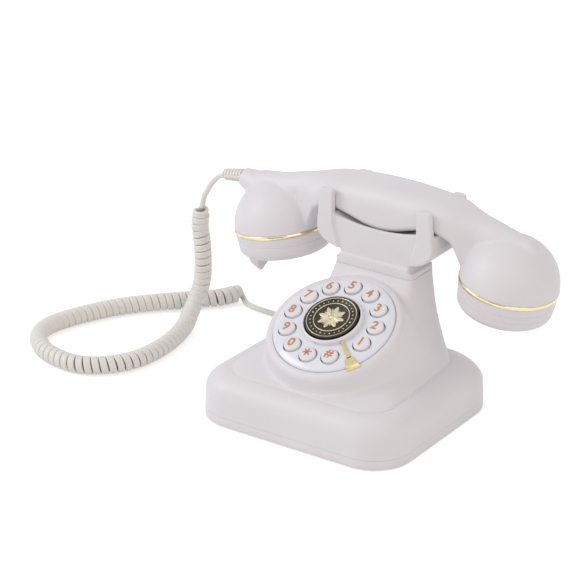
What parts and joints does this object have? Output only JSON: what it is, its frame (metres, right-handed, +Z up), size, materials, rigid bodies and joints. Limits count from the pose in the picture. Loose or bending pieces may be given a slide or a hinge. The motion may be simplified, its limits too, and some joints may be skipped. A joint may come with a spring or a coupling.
{
  "type": "retro desk telephone",
  "caption": "Retro desk telephone: square flared foot, waisted column, tilted round push-button dial, pronged cradle and bowed handset with bell cups and a curly cord.",
  "frame": {"origin": "on the desk, under the middle of the telephone's box without its cord", "axes": "+Z up, -Y the front with the dial, +X the user's right"},
  "size_m": [0.316, 0.147, 0.1237],
  "materials": {
    "body_plastic": "satin moulded plastic, slightly cool white",
    "dial_plastic": "glossy white",
    "key_plastic": "satin off-white",
    "inner_plastic": "moulded black plastic",
    "gold": "polished pale gold plating",
    "medal_metal": "darkened bronze with bright raised lines",
    "rubber": "matt moulded rubber",
    "steel": "zinc-plated",
    "board": "glass-fibre board",
    "capsules": "moulded capsules and speaker",
    "cord": "flexible ivory PVC",
    "clear": "clear polycarbonate"
  },
  "bodies": {
    "base": {"base_shell": "body_plastic", "bottom_cover": "body_plastic", "cradle": "body_plastic", "dial_plate": "dial_plastic", "dial_hub": "dial_plastic", "ringer_switch": "inner_plastic", "hook_switch": "inner_plastic", "line_jack": "inner_plastic", "handset_jack": "inner_plastic", "finger_stop": "gold", "rubber_feet": "rubber", "key_mat": "rubber", "base_screws": "steel", "board_screws": "steel", "key_board_screws": "steel", "cradle_screws": "steel", "ballast_plate": "steel", "main_board": "board", "key_board": "board", "hook_board": "board", "ringer_speaker": "capsules", "curly_coil": "cord", "base_lead": "cord", "cord_plug": "clear"},
    "handset": {"handset_shell": "body_plastic", "handset_liner": "body_plastic", "handset_screws": "steel", "handset_weight": "steel", "mouthpiece_ring": "gold", "earpiece_ring": "gold", "mouthpiece_cap": "body_plastic", "earpiece_cap": "body_plastic", "microphone_capsule": "capsules", "receiver_capsule": "capsules", "strain_relief": "cord", "handset_lead": "cord"},
    "hook": {"hook_plunger": "inner_plastic"},
    "redial_button": {"redial_rocker": "inner_plastic", "medallion": "medal_metal"},
    "ringer_slider": {"ringer_knob": "inner_plastic"},
    "key_1_body": {"key_1": "key_plastic"},
    "key_2_body": {"key_2": "key_plastic"},
    "key_3_body": {"key_3": "key_plastic"},
    "key_4_body": {"key_4": "key_plastic"},
    "key_5_body": {"key_5": "key_plastic"},
    "key_6_body": {"key_6": "key_plastic"},
    "key_7_body": {"key_7": "key_plastic"},
    "key_8_body": {"key_8": "key_plastic"},
    "key_9_body": {"key_9": "key_plastic"},
    "key_0_body": {"key_0": "key_plastic"},
    "key_star_body": {"key_star": "key_plastic"},
    "key_hash_body": {"key_hash": "key_plastic"}
  },
  "joints": [
    {"name": "handset_lift", "type": "slide", "parent": "base", "child": "handset", "axis": [0, 0, 1], "range_m": [0, 0.1]},
    {"name": "hook_rise", "type": "slide", "parent": "base", "child": "hook", "axis": [0, 0, 1], "range_m": [0, 0.004]},
    {"name": "redial_rock", "type": "hinge", "parent": "base", "child": "redial_button", "pos_m": [0, -0.02206, 0.05974], "axis": [1, 0, 0], "range_deg": [-3, 3], "stiffness_Nm_per_rad": 0.2},
    {"name": "ringer_slide", "type": "slide", "parent": "base", "child": "ringer_slider", "axis": [1, 0, 0], "range_m": [0, 0.006]},
    {"name": "key_1_press", "type": "slide", "parent": "base", "child": "key_1_body", "axis": [0, 0.4289, -0.9033], "range_m": [0, 0.0016], "stiffness_N_per_m": 300, "springref_m": -0.0005},
    {"name": "key_2_press", "type": "slide", "parent": "base", "child": "key_2_body", "axis": [0, 0.4289, -0.9033], "range_m": [0, 0.0016], "stiffness_N_per_m": 300, "springref_m": -0.0005},
    {"name": "key_3_press", "type": "slide", "parent": "base", "child": "key_3_body", "axis": [0, 0.4289, -0.9033], "range_m": [0, 0.0016], "stiffness_N_per_m": 300, "springref_m": -0.0005},
    {"name": "key_4_press", "type": "slide", "parent": "base", "child": "key_4_body", "axis": [0, 0.4289, -0.9033], "range_m": [0, 0.0016], "stiffness_N_per_m": 300, "springref_m": -0.0005},
    {"name": "key_5_press", "type": "slide", "parent": "base", "child": "key_5_body", "axis": [0, 0.4289, -0.9033], "range_m": [0, 0.0016], "stiffness_N_per_m": 300, "springref_m": -0.0005},
    {"name": "key_6_press", "type": "slide", "parent": "base", "child": "key_6_body", "axis": [0, 0.4289, -0.9033], "range_m": [0, 0.0016], "stiffness_N_per_m": 300, "springref_m": -0.0005},
    {"name": "key_7_press", "type": "slide", "parent": "base", "child": "key_7_body", "axis": [0, 0.4289, -0.9033], "range_m": [0, 0.0016], "stiffness_N_per_m": 300, "springref_m": -0.0005},
    {"name": "key_8_press", "type": "slide", "parent": "base", "child": "key_8_body", "axis": [0, 0.4289, -0.9033], "range_m": [0, 0.0016], "stiffness_N_per_m": 300, "springref_m": -0.0005},
    {"name": "key_9_press", "type": "slide", "parent": "base", "child": "key_9_body", "axis": [0, 0.4289, -0.9033], "range_m": [0, 0.0016], "stiffness_N_per_m": 300, "springref_m": -0.0005},
    {"name": "key_0_press", "type": "slide", "parent": "base", "child": "key_0_body", "axis": [0, 0.4289, -0.9033], "range_m": [0, 0.0016], "stiffness_N_per_m": 300, "springref_m": -0.0005},
    {"name": "key_star_press", "type": "slide", "parent": "base", "child": "key_star_body", "axis": [0, 0.4289, -0.9033], "range_m": [0, 0.0016], "stiffness_N_per_m": 300, "springref_m": -0.0005},
    {"name": "key_hash_press", "type": "slide", "parent": "base", "child": "key_hash_body", "axis": [0, 0.4289, -0.9033], "range_m": [0, 0.0016], "stiffness_N_per_m": 300, "springref_m": -0.0005}
  ],
  "couplings": [
    {"joint": "hook_rise", "follows": "handset_lift", "ratio": 0.04}
  ]
}
